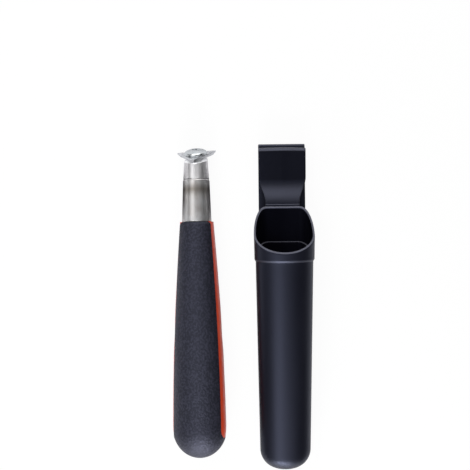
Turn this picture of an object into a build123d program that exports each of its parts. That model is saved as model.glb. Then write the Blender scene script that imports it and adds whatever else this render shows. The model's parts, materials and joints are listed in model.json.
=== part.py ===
from build123d import *
from math import asin, atan2, cos, degrees, hypot, radians, sin, sqrt, tan
import os

os.makedirs("parts", exist_ok=True)

# Pocket scraper with its belt holster, lying side by side on their backs. Millimetres, +Z up.
# Both long axes run along Y, blade and mouth towards +Y, the scraper on the -X side.
# Each piece is drawn in its own tool's frame: +Y along the tool, +Z its front, y = 0 at its lower end.

# Blade: an equal-sided triangle, larger face outwards, edges undercut towards the neck,
# clamped a little turned on its seat
blade_side = 25.0
blade_thickness = 2.4
blade_land = 0.7
blade_undercut = 1.1
blade_corner_radius = 0.4
blade_hole_diameter = 5.5
blade_tilt = 20.0
blade_angle = 7.2

# Raised countersunk screw in a domed cup washer
screw_diameter = 5.0
screw_reach = 8.0
thread_pitch = 0.8
thread_depth_share = 0.61
thread_clearance = 0.06
tapping_spare_turns = 1.25
unscrewing_turns = 9
screw_head_diameter = 9.2
screw_head_rise = 1.1
drive_slot_width = 1.1
drive_slot_length = 4.8
drive_slot_depth = 1.7
washer_diameter = 14.3
washer_rim = 0.8
washer_height = 2.3
head_seat_clearance = 0.05

# Blade head, its spigot and the ferrule below it
head_top_diameter = 14.5
head_foot_diameter = 16.1
head_length = 13.5
head_chamfer = 1.3
spigot_diameter = 12.4
spigot_length = 14.0
socket_depth = 10.0
ferrule_top_diameter = 16.6
ferrule_foot_diameter = 18.4
ferrule_length = 26.5
ferrule_edge = 0.35
fit_clearance = 0.05

# Round shank with two flats and two grooves that the handle is moulded round
shank_diameter = 8.0
shank_length = 100.0
shank_flat_depth = 0.9
shank_flat_length = 24.0
shank_flat_setback = 8.0
groove_width = 3.0
groove_depth = 0.8
groove_spacing = 18.0
groove_count = 2

# Handle: hard core with a band along each side, soft grip round the rest
handle_length = 146.0
handle_front_width = 21.5
handle_width = 33.7
handle_front_height = 20.4
handle_height = 28.8
handle_butt_length = 18.2
handle_edge_radius = 2.0
handle_bulge = 1.7
grip_thickness = 2.6
band_recess = 0.3
band_height_share = 0.355
band_end = 12.6
nose_length = 9.0

# Holster pouch
pouch_foot_width = 30.8
pouch_mouth_width = 36.1
pouch_foot_depth = 24.0
pouch_mouth_depth = 30.4
pouch_side_radius = 12.4
pouch_heel_radius = 8.0
pouch_wall = 2.1
mouth_back_height = 162.1
mouth_drop = 28.1
pouch_flat_share = 0.577
pouch_widest_share = 0.6
collar_height = 129.4
collar_blend = 1.2
collar_thickness = 0.7
rim_thickness = 1.3
ledge_height = 140.5
ledge_slope = 20.0
rail_width = 2.0
rail_height = 15.0
rail_clearance = 0.1

# Belt clip: foot on the pouch's back, strap leaning back, and a straight leg behind it
clip_foot_width = 21.4
clip_foot_height = 21.7
clip_foot_step = 0.9
clip_overhang = 0.9
clip_thickness = 2.4
clip_width = 29.4
clip_lean_height = 13.5
clip_lean = 2.9
clip_strap_height = 21.8
clip_shoulder_rise = 2.0
clip_shoulder_radius = 2.3
clip_crown_radius = 1.1
clip_inner_radius = 1.2
clip_flare_start = 1.4
clip_flare_length = 15.0
clip_depth = 15.6
clip_leg_length = 52.0
clip_leg_corner = 6.0
clip_leg_chamfer = 1.1
clip_edge_radius = 0.4

# Placing of the two tools on the surface
scraper_place = (-21.3, -137.8)
scraper_lean = 0.9
scraper_roll = -11.7
holster_place = (31.6, -143.3)
holster_lean = 0.6

# How far a cut runs past the face that it opens
overrun = 4.0

# Places along the scraper, measured from the butt's end
handle_front = handle_length
ferrule_top = handle_front + ferrule_length
seat_height = ferrule_top + head_length
head_centre = Vector(0, seat_height, 0)
screw_direction = Vector(0, cos(radians(blade_tilt)), sin(radians(blade_tilt)))
screw_plane = Plane(origin=head_centre, x_dir=(1, 0, 0), z_dir=screw_direction)
ferrule_bore = spigot_diameter + 2 * fit_clearance


def cross_plane(height):
    """The plane square to a tool's length at a height, with the tool's front as its second axis."""
    return Plane(origin=(0, height, 0), x_dir=(1, 0, 0), z_dir=(0, -1, 0))


def turned(points):
    """A solid of revolution about the tool's length, from (radius, height) corners."""
    return revolve(make_face(Polyline(*points, close=True)), Axis.Y)


def turned_on_screw(points):
    """A solid of revolution about the screw, from (radius, height over the seat) corners."""
    outline = make_face(Plane.XZ * Polyline(*points, close=True))
    return screw_plane * revolve(outline, Axis.Z)


# Blade, washer and screw

def blade_outline(inset):
    """The blade's triangle, one corner to the front, moved in by an inset on every side."""
    side = blade_side - 2 * inset * sqrt(3)
    corner = side / sqrt(3)
    points = [(corner * cos(radians(a)), corner * sin(radians(a))) for a in (-90, 30, 150)]
    outline = make_face(Polyline(*points, close=True))
    return fillet(outline.vertices(), blade_corner_radius)


def make_blade():
    """Straight land at the cutting edges, then sides that draw in towards the neck."""
    undercut_depth = blade_thickness - blade_land
    lower = blade_outline(blade_undercut)
    middle = Pos(0, 0, undercut_depth) * blade_outline(0)
    body = loft([lower, middle]) + Pos(0, 0, undercut_depth) * extrude(blade_outline(0), blade_land)
    hole = Cylinder(blade_hole_diameter / 2, 3 * blade_thickness)
    return screw_plane * Rot(0, 0, blade_angle) * (body - hole)


screw_point = thread_depth_share * thread_pitch
tapping_depth = screw_reach + tapping_spare_turns * thread_pitch
washer_base = blade_thickness
washer_top = washer_base + washer_height
washer_hole_radius = screw_diameter / 2 + head_seat_clearance + thread_clearance
dome_steps = 8


def crown_height(radius):
    """Height over the seat of the one low dome that washer and screw head share."""
    low = washer_base + washer_rim
    high = washer_top + screw_head_rise
    return low + (high - low) * sqrt(1 - (2 * radius / washer_diameter) ** 2)


def crown_points(outer, inner):
    """Points on the shared dome, from an outer radius in to an inner one."""
    first = asin(2 * inner / washer_diameter)
    last = asin(2 * outer / washer_diameter)
    angles = [last + (first - last) * step / dome_steps for step in range(dome_steps + 1)]
    return [(washer_diameter / 2 * sin(a), crown_height(washer_diameter / 2 * sin(a))) for a in angles]


def make_cup_washer():
    """Domed ring with a tapered seat for the screw's head."""
    mouth = screw_head_diameter / 2 + head_seat_clearance
    outer = washer_diameter / 2
    points = [(washer_hole_radius, washer_base), (outer, washer_base), (outer, washer_base + washer_rim)]
    points += crown_points(outer, mouth)[1:]
    return turned_on_screw(points)


def make_blade_screw():
    """Raised countersunk screw with a crossed drive."""
    head = screw_head_diameter / 2
    shaft = screw_diameter / 2
    tip = shaft - screw_point
    points = [(0, -screw_reach), (tip, -screw_reach), (shaft, screw_point - screw_reach),
              (shaft, washer_base), (head, crown_height(head))]
    points += crown_points(head, 0)[1:]
    screw = turned_on_screw(points)
    slot_centre = washer_top + screw_head_rise
    for angle in (45, 135):
        bar = Box(drive_slot_length, drive_slot_width, 2 * drive_slot_depth)
        screw -= screw_plane * Pos(0, 0, slot_centre) * Rot(0, 0, angle) * bar
    return screw


# Head, ferrule and shank

def make_blade_head():
    """Tapered head cut off square to the screw, with a spigot below and the shank's socket in it."""
    top = head_top_diameter / 2
    foot = head_foot_diameter / 2
    taper = (foot - top) / head_length
    spare = foot * tan(radians(blade_tilt)) + overrun
    spigot = spigot_diameter / 2
    base = ferrule_top - spigot_length
    head = turned([(0, base), (spigot, base), (spigot, ferrule_top), (foot, ferrule_top),
                   (top - taper * spare, seat_height + spare), (0, seat_height + spare)])
    size = 2 * (head_length + spare)
    head -= screw_plane * Pos(0, 0, size / 2) * Box(size, size, size)
    seat = head.faces().sort_by(Axis(head_centre, screw_direction))[-1]
    head = chamfer(seat.edges(), head_chamfer)
    tapped = Cylinder(screw_diameter / 2 + thread_clearance, tapping_depth + overrun)
    head -= screw_plane * Pos(0, 0, (overrun - tapping_depth) / 2) * tapped
    socket = shank_diameter / 2 + fit_clearance
    return head - turned([(0, base - overrun), (socket, base - overrun),
                          (socket, base + socket_depth), (0, base + socket_depth)])


def make_ferrule():
    """Plated taper tube between the head and the handle."""
    bore = ferrule_bore / 2
    top = ferrule_top_diameter / 2
    foot = ferrule_foot_diameter / 2
    return turned([(bore, handle_front), (foot, handle_front), (top, ferrule_top - ferrule_edge),
                   (top - ferrule_edge, ferrule_top), (bore, ferrule_top)])


shank_top = ferrule_top - spigot_length + socket_depth
shank_foot = shank_top - shank_length


def make_shank():
    """Round rod, flatted and grooved where the handle holds it."""
    radius = shank_diameter / 2
    rod = turned([(0, shank_foot), (radius, shank_foot), (radius, shank_top), (0, shank_top)])
    flat_middle = shank_foot + shank_flat_setback + shank_flat_length / 2
    flat_offset = radius - shank_flat_depth + shank_diameter / 2
    for side in (-1, 1):
        block = Box(shank_diameter, shank_flat_length, shank_diameter)
        rod -= Pos(side * flat_offset, flat_middle, 0) * block
    first_groove = shank_foot + shank_flat_setback + shank_flat_length + groove_spacing / 2
    for number in range(groove_count):
        low = first_groove + number * groove_spacing
        high = low + groove_width
        floor = radius - groove_depth
        rod -= turned([(floor, low), (radius + overrun, low), (radius + overrun, high), (floor, high)])
    return rod


# Handle

body_length = handle_length - handle_butt_length


def handle_widths(height):
    """Half width, front half height and back half height of the handle above its butt."""
    rise = max(0, min(1, (height - handle_butt_length) / body_length))
    swell = 1 - rise ** handle_bulge
    half_width = (handle_front_width + (handle_width - handle_front_width) * swell) / 2
    half_front = (handle_front_height + (handle_height - handle_front_height) * swell) / 2
    half_back = (handle_height + (handle_front_height - handle_height) * rise) / 2
    return half_width, half_front, half_back


def handle_section(height, inset, round_front):
    """Cross-section of the handle, moved in by an inset, as two half ellipses."""
    sizes = [value - inset for value in handle_widths(height)]
    if height < handle_butt_length:
        drop = (handle_butt_length - height) / (handle_butt_length - inset)
        sizes = [value * sqrt(1 - drop ** 2) for value in sizes]
    front_gap = handle_front - height
    if round_front and front_gap < handle_edge_radius:
        depth = handle_edge_radius - sqrt(handle_edge_radius ** 2 - (handle_edge_radius - front_gap) ** 2)
        sizes = [value - depth for value in sizes]
    wide, front, back = sizes
    edges = [EllipticalCenterArc((0, 0), wide, front, 0, arc_size=180),
             EllipticalCenterArc((0, 0), wide, back, 180, arc_size=180)]
    return cross_plane(height) * make_face(edges)


butt_step_shares = (0.995, 0.96, 0.88, 0.76, 0.6, 0.4, 0.2)
body_step_shares = (0, 0.08, 0.17, 0.28, 0.4, 0.53, 0.66, 0.78, 0.88, 0.95)
edge_step_shares = (1, 0.7, 0.35, 0.1, 0)


def handle_solid(inset, round_front=False):
    """The handle's form, moved in by an inset everywhere but at its front face."""
    butt = handle_butt_length - inset
    front_room = handle_edge_radius if round_front else 0
    heights = [handle_butt_length - butt * share for share in butt_step_shares]
    heights += [handle_butt_length + (body_length - front_room) * share for share in body_step_shares]
    if round_front:
        heights += [handle_front - handle_edge_radius * share for share in edge_step_shares]
    else:
        heights.append(handle_front)
    return loft([handle_section(height, inset, round_front) for height in heights])


def band_prism():
    """Side band seen from the side, run right through the handle's width."""
    shares = (0, 0.25, 0.5, 0.75, 1)
    straight = [handle_butt_length + (body_length + overrun) * share for share in shares]
    edge = [(height, band_height_share * handle_widths(height)[0]) for height in straight]
    start_height, start_half = edge[0]
    side_plane = Plane(origin=(0, 0, 0), x_dir=(0, 1, 0), z_dir=(1, 0, 0))
    upper = Spline(*edge)
    lower = Spline(*[(height, -half) for height, half in edge])
    front = Line(upper @ 1, lower @ 1)
    butt = EllipticalCenterArc((start_height, 0), start_height - band_end, start_half, 90, arc_size=180)
    outline = make_face([upper, front, lower, butt])
    return extrude(side_plane * outline, handle_width, both=True)


def make_handle():
    """The hard core with its two side bands, and the soft grip that fills the rest of the form."""
    inner = handle_solid(grip_thickness)
    band = band_prism()
    nose = ferrule_bore / 2 - fit_clearance
    core = inner + (handle_solid(band_recess) & band)
    core += turned([(0, handle_front - overrun), (nose, handle_front - overrun),
                    (nose, handle_front + nose_length), (0, handle_front + nose_length)])
    core -= make_shank()
    grip = handle_solid(0, round_front=True) - inner - band
    return core, grip


# Holster

def pouch_sizes(height):
    """Half width and depth of the pouch's tapered body at a height."""
    rise = height / mouth_back_height
    wide = pouch_foot_width + (pouch_mouth_width - pouch_foot_width) * rise
    deep = pouch_foot_depth + (pouch_mouth_depth - pouch_foot_depth) * rise
    return wide / 2, deep


def pouch_section(height, grow, back, front_spare=0):
    """D-shaped section: flat back with large round corners, half ellipse to the front."""
    wide, deep = pouch_sizes(height)
    wide += grow
    front = deep + grow + front_spare
    middle = back + (front - back) * pouch_widest_share
    flat = wide * pouch_flat_share
    edges = [Line((-flat, back), (flat, back)),
             EllipticalCenterArc((flat, middle), wide - flat, middle - back, -90, arc_size=90),
             EllipticalCenterArc((0, middle), wide, front - middle, 0, arc_size=180),
             EllipticalCenterArc((-flat, middle), wide - flat, middle - back, 180, arc_size=90)]
    return cross_plane(height) * make_face(edges)


corner_step_shares = (0, 0.12, 0.35, 0.65, 1)
pouch_top = mouth_back_height + overrun


def corner_pull(radius, rise):
    """How far a rounded corner draws in at a height over its lowest point."""
    return radius - sqrt(radius ** 2 - max(0, radius - rise) ** 2)


def foot_section(side_radius, heel_radius, foot, rise, grow, back):
    """Section of the rounded foot: its sides draw in more than its front and back."""
    sides = corner_pull(side_radius, rise)
    heel = corner_pull(heel_radius, rise)
    return pouch_section(foot + rise, grow - sides, back + heel, sides - heel)


def pouch_solid(grow, back, foot, side_radius, heel_radius):
    """The pouch's form from its rounded foot up past the mouth."""
    rises = [side_radius * share for share in corner_step_shares]
    lower = loft([foot_section(side_radius, heel_radius, foot, rise, grow, back) for rise in rises])
    low = pouch_section(foot + side_radius, grow, back)
    return lower + loft([low, pouch_section(pouch_top, grow, back)])


def collar_solid():
    """Thicker band round the mouth, with a short slope below it."""
    slope_top = collar_height + collar_blend
    low = pouch_section(collar_height, 0, 0)
    high = pouch_section(slope_top, collar_thickness, 0)
    top = pouch_section(pouch_top, collar_thickness, 0)
    return loft([low, high]) + loft([high, top])


def above(height, slope):
    """A block whose lower face crosses the pouch's back at a height and falls towards the front."""
    size = 2 * pouch_top
    return Pos(0, height, 0) * Rot(slope, 0, 0) * Pos(0, size / 2, 0) * Box(size, size, size)


mouth_slope = degrees(atan2(mouth_drop, pouch_mouth_depth + collar_thickness))


def clip_rails():
    """Two rails on the pouch's back that the clip's foot slides down between."""
    step = clip_foot_width / 2 + rail_clearance + rail_width / 2
    thick = clip_thickness + clip_foot_step
    low = clip_foot_low
    block = Box(rail_width, rail_height, thick + pouch_wall / 2)
    middle = Pos(0, low + rail_height / 2, (pouch_wall / 2 - thick) / 2)
    return [middle * Pos(side * step, 0, 0) * block for side in (-1, 1)]


def make_pouch():
    """Tapered pouch, open at a slanted mouth, with a ledge inside below the rim."""
    cavity_grow = -pouch_wall
    rim_grow = collar_thickness - rim_thickness
    outside = pouch_solid(0, 0, 0, pouch_side_radius, pouch_heel_radius) + collar_solid()
    cavity = pouch_solid(cavity_grow, pouch_wall, pouch_wall,
                         pouch_side_radius - pouch_wall, pouch_heel_radius - pouch_wall)
    collar_room = loft([pouch_section(collar_height - collar_blend - overrun, rim_grow, rim_thickness),
                        pouch_section(pouch_top + overrun, rim_grow, rim_thickness)])
    pouch = outside - above(mouth_back_height, mouth_slope)
    pouch -= cavity
    pouch -= collar_room & above(ledge_height, ledge_slope)
    for rail in clip_rails():
        pouch += rail
    return pouch


# Belt clip

clip_foot_low = mouth_back_height + clip_overhang - clip_foot_height
clip_foot_top = mouth_back_height + clip_overhang
clip_strap_front = -clip_foot_step - clip_lean
clip_web_top = clip_foot_top + clip_lean_height + clip_strap_height
clip_crown = clip_web_top + clip_shoulder_rise
tail_radius = pouch_heel_radius
rise_to_clip = clip_web_top - tail_radius
holster_tilt = degrees(atan2(clip_depth + tail_radius, rise_to_clip)
                       - asin(tail_radius / hypot(rise_to_clip, clip_depth + tail_radius)))
leg_slope = tan(radians(holster_tilt))


def leg_back(height):
    """The plane that the clip's leg and the pouch's tail both lie on."""
    return -clip_depth - leg_slope * (height - clip_web_top)


def side_face(points):
    """A face in the tool's side view, from (height, front) corners."""
    side_plane = Plane(origin=(0, 0, 0), x_dir=(0, 1, 0), z_dir=(1, 0, 0))
    return side_plane * make_face(Polyline(*points, close=True))


def front_prism(outline):
    """A front-view outline run through the clip's whole depth."""
    return extrude(outline, 2 * clip_depth, both=True)


def strap_profile():
    """Side view of the foot, the leaning strap and the web that turns back at the top."""
    foot_back = -clip_foot_step - clip_thickness
    lean_top = clip_foot_top + clip_lean_height
    strap_back = clip_strap_front - clip_thickness
    web_low = clip_web_top - clip_thickness
    web_back = leg_back(clip_web_top) + clip_thickness / 2
    return side_face([(clip_foot_low, 0), (clip_foot_top, 0), (clip_foot_top, -clip_foot_step),
                      (lean_top, clip_strap_front), (clip_web_top, clip_strap_front),
                      (clip_web_top, web_back), (web_low, web_back), (web_low, strap_back),
                      (lean_top, strap_back), (clip_foot_top, foot_back), (clip_foot_low, foot_back)])


def strap_outline():
    """Front view of the foot and strap: narrow at the foot, then flared to the full width."""
    narrow = clip_foot_width / 2
    wide = clip_width / 2
    start = clip_foot_top + clip_flare_start
    end = start + clip_flare_length
    top = clip_crown + overrun
    low = clip_foot_low - overrun
    right = Spline((narrow, start), (wide, end), tangents=((0, 1), (0, 1)))
    left = Spline((-wide, end), (-narrow, start), tangents=((0, -1), (0, -1)))
    sides = [Line((narrow, low), (narrow, start)), right, Line((wide, end), (wide, top)),
             Line((wide, top), (-wide, top)), Line((-wide, top), (-wide, end)), left,
             Line((-narrow, start), (-narrow, low)), Line((-narrow, low), (narrow, low))]
    return make_face(sides)


def leg_profile():
    """Side view of the leg, a little higher than the web and chamfered inside at its tip."""
    tip = clip_crown - clip_leg_length
    lead = tip + 2 * clip_leg_chamfer
    return side_face([(tip, leg_back(tip)), (clip_crown, leg_back(clip_crown)),
                      (clip_crown, leg_back(clip_crown) + clip_thickness),
                      (lead, leg_back(lead) + clip_thickness),
                      (tip, leg_back(tip) + clip_thickness - clip_leg_chamfer)])


def leg_outline():
    """Front view of the leg, with rounded corners at its tip."""
    tip = clip_crown - clip_leg_length
    middle = (tip + clip_crown) / 2
    outline = Pos(0, middle) * Rectangle(clip_width, clip_leg_length)
    return fillet(outline.vertices().sort_by(Axis.Y)[:2], clip_leg_corner)


def rounded(clip, height, front, radius):
    """The clip with one of its cross-wise edges, found by its side-view place, rounded."""
    place = Vector(0, height, front)
    across = clip.edges().filter_by(Axis.X)
    nearest = across.sort_by(lambda edge: (Vector(0, edge.center().Y, edge.center().Z) - place).length)
    return fillet(nearest[0], radius)


def make_belt_clip():
    """Foot, strap and leg in one bent strip."""
    strap = extrude(strap_profile(), clip_width, both=True) & front_prism(strap_outline())
    leg = extrude(leg_profile(), clip_width, both=True) & front_prism(leg_outline())
    clip = strap + leg
    web_low = clip_web_top - clip_thickness
    strap_back = clip_strap_front - clip_thickness
    crown_front = leg_back(clip_crown) + clip_thickness
    clip = rounded(clip, clip_web_top, clip_strap_front, clip_shoulder_radius)
    clip = rounded(clip, web_low, strap_back, clip_inner_radius)
    clip = rounded(clip, web_low, leg_back(web_low) + clip_thickness, clip_inner_radius)
    clip = rounded(clip, clip_crown, crown_front, clip_crown_radius)
    clip = rounded(clip, clip_crown, leg_back(clip_crown), clip_crown_radius)
    return fillet(clip.edges(), clip_edge_radius)


# Placing and writing

# The handle's straight back sets how far the scraper's blade end drops as it lies
scraper_tilt = -degrees(atan2((handle_height - handle_front_height) / 2, body_length))


def make_scraper():
    """Every piece of the scraper, in its own frame."""
    core, grip = make_handle()
    return {"blade": make_blade(), "cup_washer": make_cup_washer(), "blade_screw": make_blade_screw(),
            "blade_head": make_blade_head(), "ferrule": make_ferrule(), "shank": make_shank(),
            "handle_core": core, "soft_grip": grip}


def make_holster():
    """Both pieces of the holster, in its own frame."""
    return {"holster_pouch": make_pouch(), "belt_clip": make_belt_clip()}


def resting_place(pieces, place, lean, tilt, roll=0):
    """Where a tool goes so that it lies on the surface, tilted, turned and rolled a little."""
    turn = Rot(0, 0, lean) * Rot(tilt, 0, 0) * Rot(0, roll, 0)
    lowest = min((turn * piece).bounding_box().min.Z for piece in pieces.values())
    return Pos(*place, -lowest) * turn


def main():
    """Lay both tools down, centre them over the origin and write each piece."""
    scraper, holster = make_scraper(), make_holster()
    scraper_location = resting_place(scraper, scraper_place, scraper_lean, scraper_tilt, scraper_roll)
    holster_location = resting_place(holster, holster_place, holster_lean, holster_tilt)
    placed = {name: scraper_location * piece for name, piece in scraper.items()}
    placed |= {name: holster_location * piece for name, piece in holster.items()}
    boxes = [piece.bounding_box() for piece in placed.values()]
    middle_x = (min(box.min.X for box in boxes) + max(box.max.X for box in boxes)) / 2
    middle_y = (min(box.min.Y for box in boxes) + max(box.max.Y for box in boxes)) / 2
    centre = Pos(-middle_x, -middle_y, 0)
    for name, piece in placed.items():
        export_step(centre * piece, f"parts/{name}.step")
    seat = (centre * scraper_location * Pos(*head_centre)).position
    beyond = (centre * scraper_location * Pos(*(head_centre + screw_direction))).position
    print("seat centre", seat, "screw direction", beyond - seat)
    print("screw travel", unscrewing_turns * thread_pitch, "holster tilt", holster_tilt)
    print("holster foot", (centre * holster_location).position)


main()
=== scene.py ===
import json
import math

import bmesh
import bpy
from mathutils import Matrix, Vector


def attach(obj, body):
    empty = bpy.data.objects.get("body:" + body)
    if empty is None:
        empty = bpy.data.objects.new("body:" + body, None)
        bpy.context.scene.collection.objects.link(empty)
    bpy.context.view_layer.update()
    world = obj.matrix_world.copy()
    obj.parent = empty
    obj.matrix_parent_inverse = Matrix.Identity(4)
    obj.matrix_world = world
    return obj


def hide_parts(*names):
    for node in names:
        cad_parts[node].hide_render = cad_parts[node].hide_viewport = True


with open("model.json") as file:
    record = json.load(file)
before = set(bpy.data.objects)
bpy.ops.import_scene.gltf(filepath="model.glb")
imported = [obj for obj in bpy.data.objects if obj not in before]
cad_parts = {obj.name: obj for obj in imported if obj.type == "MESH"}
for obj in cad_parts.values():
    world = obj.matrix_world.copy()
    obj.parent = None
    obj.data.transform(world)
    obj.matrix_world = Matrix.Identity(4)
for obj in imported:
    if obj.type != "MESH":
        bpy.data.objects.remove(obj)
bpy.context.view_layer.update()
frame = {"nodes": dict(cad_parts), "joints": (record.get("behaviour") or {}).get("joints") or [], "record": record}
scene = bpy.context.scene
print("frame loaded:", len(frame["nodes"]), "nodes")

millimetre = 0.001
weldReach = 0.002 * millimetre   # points closer than this become one

# view, floor and light

view = {
    "target": (-0.0050, 0.0435, 0.012),  # the point at the picture's middle
    "distance": 0.638,
    "focalPixels": 1025.7,
    "pictureWidth": 470,
    "sensorWidth": 36,                   # millimetres
}

studio = {
    "floorColor": (0.88, 0.88, 0.88),
    "paintedReflectionColor": (0.80, 0.80, 0.82),   # the floor as the tools' own gleam shows it: a painted reflection, apart from what the camera sees
    "darkReflectionColor": (0.04, 0.04, 0.045),   # and a painted dark reflection across it, beside neck and clip, seen only in the tools' gleam
    "strip": (0.052, 0.060, 0.078, 0.086),  # where the strip starts, is full, fades and ends
    "floorGlow": 0.94,       # share of the floor that the camera sees as plain white
    "floorReach": 6.0, "floorDrop": 0.0002, "floorRoughness": 0.9,
    "levelShare": 0.7,       # a lamp that faces along Y more than this keeps its width along X
    "roomColor": (0.96, 0.98, 1.0),
    "roomStrength": 0.08,
    "lamps": [               # name, place, aimed at, size across and along, power
        ("upperLamp", (-0.40, 0.22, 0.54), (-0.02, 0.08, 0.0), (0.34, 0.40), 0.85),
        ("lowerLamp", (-0.16, -0.28, 0.62), (0.0, -0.04, 0.0), (0.30, 0.42), 1.25),
        ("fillLamp", (0.16, -0.26, 0.62), (0.02, -0.03, 0.0), (0.26, 0.40), 0.22),
        ("topLamp", (0.0, 0.53, 0.42), (0.0, 0.08, 0.0), (0.70, 0.56), 2.9),
        ("footLamp", (-0.06, -0.62, 0.34), (0.0, -0.06, 0.0), (0.4, 0.18), 4.4),
        ("skirtLamp", (-0.04, -0.70, 0.10), (0.0, -0.08, 0.01), (0.8, 0.20), 2.2),
        ("backLamp", (0.0, 0.75, 0.10), (0.0, 0.08, 0.01), (1.6, 0.20), 1.0),
        ("leftLamp", (-0.66, 0.04, 0.08), (0.0, 0.04, 0.01), (0.14, 0.5), 0.35),
        ("rightLamp", (0.66, 0.02, 0.05), (0.0, 0.0, 0.01), (0.08, 0.5), 0.12),
    ],
}


def placeCamera():
    # straight above the target, with +Y upwards in the picture
    lens = bpy.data.cameras.new("photoCamera")
    lens.sensor_fit = "HORIZONTAL"
    lens.sensor_width = view["sensorWidth"]
    lens.lens = view["focalPixels"] / view["pictureWidth"] * lens.sensor_width
    camera = bpy.data.objects.new("photoCamera", lens)
    scene.collection.objects.link(camera)
    camera.matrix_world = Matrix.Translation(Vector(view["target"]) + Vector((0, 0, view["distance"])))
    scene.camera = camera


def hangLamps():
    for name, place, aim, size, power in studio["lamps"]:
        lamp = bpy.data.lights.new(name, "AREA")
        lamp.shape = "RECTANGLE"
        lamp.size, lamp.size_y = size
        lamp.energy = power
        holder = bpy.data.objects.new(name, lamp)
        holder.location = place
        facing = (Vector(place) - Vector(aim)).normalized()
        across = Vector((0, 1, 0)).cross(facing).normalized()
        if abs(facing.y) > studio["levelShare"]:
            across = Vector((1, 0, 0))
        turn = Matrix((across, facing.cross(across), facing)).transposed()
        holder.rotation_euler = turn.to_euler()
        holder.visible_camera = False
        scene.collection.objects.link(holder)


def lightRoom():
    world = bpy.data.worlds.new("studioRoom")
    scene.world = world
    world.use_nodes = True
    nodes, links = world.node_tree.nodes, world.node_tree.links
    air = nodes["Background"]
    air.inputs["Color"].default_value = (*studio["roomColor"], 1)
    air.inputs["Strength"].default_value = studio["roomStrength"]
    backdrop = nodes.new("ShaderNodeBackground")   # what the camera sees past the floor's end
    backdrop.inputs["Color"].default_value = (1, 1, 1, 1)
    path = nodes.new("ShaderNodeLightPath")
    mix = nodes.new("ShaderNodeMixShader")
    links.new(path.outputs["Is Camera Ray"], mix.inputs["Fac"])
    links.new(air.outputs[0], mix.inputs[1])
    links.new(backdrop.outputs[0], mix.inputs[2])
    links.new(mix.outputs[0], nodes["World Output"].inputs["Surface"])


def layFloor():
    reach, low = studio["floorReach"], -studio["floorDrop"]
    corners = [(-reach, -reach, low), (reach, -reach, low), (reach, reach, low), (-reach, reach, low)]
    mesh = bpy.data.meshes.new("paleFloor")
    mesh.from_pydata(corners, [], [(0, 1, 2, 3)])
    floor = bpy.data.objects.new("paleFloor", mesh)
    scene.collection.objects.link(floor)
    mesh.materials.append(paperFinish())


def paintedReflectionShade(nodes, links):
    # the floor's color along Y as reflections show it, with the painted dark reflection strip across it
    place = nodes.new("ShaderNodeTexCoord")
    parts = nodes.new("ShaderNodeSeparateXYZ")
    links.new(place.outputs["Object"], parts.inputs[0])
    strip = nodes.new("ShaderNodeValToRGB")
    ends = strip.color_ramp.elements
    ends[0].color = ends[1].color = (*studio["paintedReflectionColor"], 1)
    ends[0].position = studio["strip"][0]
    ends[1].position = studio["strip"][3]
    for spot in studio["strip"][1:3]:
        strip.color_ramp.elements.new(spot).color = (*studio["darkReflectionColor"], 1)
    links.new(parts.outputs["Y"], strip.inputs["Fac"])
    return strip.outputs["Color"]


def paperFinish():
    # near white to the camera, and a painted reflection with a dark strip where the tools' own gleam shows it
    finish = bpy.data.materials.new("palePaper")
    finish.use_nodes = True
    nodes, links = finish.node_tree.nodes, finish.node_tree.links
    paper = nodes["Principled BSDF"]
    paper.inputs["Roughness"].default_value = studio["floorRoughness"]
    glow = nodes.new("ShaderNodeEmission")
    path = nodes.new("ShaderNodeLightPath")
    shade = nodes.new("ShaderNodeMix")
    shade.data_type = "RGBA"
    shade.inputs["A"].default_value = (*studio["floorColor"], 1)
    links.new(paintedReflectionShade(nodes, links), shade.inputs["B"])
    links.new(path.outputs["Is Glossy Ray"], shade.inputs["Factor"])
    links.new(shade.outputs["Result"], paper.inputs["Base Color"])
    share = nodes.new("ShaderNodeMath")
    share.operation = "MULTIPLY"
    share.inputs[1].default_value = studio["floorGlow"]
    mix = nodes.new("ShaderNodeMixShader")
    links.new(path.outputs["Is Camera Ray"], share.inputs[0])
    links.new(share.outputs[0], mix.inputs["Fac"])
    links.new(paper.outputs[0], mix.inputs[1])
    links.new(glow.outputs[0], mix.inputs[2])
    links.new(mix.outputs[0], nodes["Material Output"].inputs["Surface"])
    return finish


placeCamera()
hangLamps()
lightRoom()
layFloor()
scene.view_settings.view_transform = "Standard"
print("camera, lamps and floor are in place")

# finishes

def startFinish(name, color, roughness, metallic=0.0, specular=0.5, gleam=(1, 1, 1)):
    finish = bpy.data.materials.new(name)
    finish.use_nodes = True
    surface = finish.node_tree.nodes["Principled BSDF"]
    surface.inputs["Base Color"].default_value = (*color, 1)
    surface.inputs["Roughness"].default_value = roughness
    surface.inputs["Metallic"].default_value = metallic
    surface.inputs["Specular IOR Level"].default_value = specular
    surface.inputs["Specular Tint"].default_value = (*gleam, 1)
    return finish, surface


def grainField(finish, scale, stretch=(1, 1, 1), detail=3.0):
    # a noise pattern in object space, "scale" cells to the metre
    nodes, links = finish.node_tree.nodes, finish.node_tree.links
    place = nodes.new("ShaderNodeTexCoord")
    turn = nodes.new("ShaderNodeMapping")
    turn.inputs["Scale"].default_value = stretch
    grain = nodes.new("ShaderNodeTexNoise")
    grain.inputs["Scale"].default_value = scale
    grain.inputs["Detail"].default_value = detail
    links.new(place.outputs["Object"], turn.inputs["Vector"])
    links.new(turn.outputs["Vector"], grain.inputs["Vector"])
    return grain.outputs[0]


def spread(finish, field, low, high, start=0.3, end=0.7):
    # maps a pattern onto a range of values
    step = finish.node_tree.nodes.new("ShaderNodeMapRange")
    step.inputs["From Min"].default_value = start
    step.inputs["From Max"].default_value = end
    step.inputs["To Min"].default_value = low
    step.inputs["To Max"].default_value = high
    finish.node_tree.links.new(field, step.inputs["Value"])
    return step.outputs["Result"]


def roughen(finish, surface, field, low, high):
    finish.node_tree.links.new(spread(finish, field, low, high), surface.inputs["Roughness"])


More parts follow.
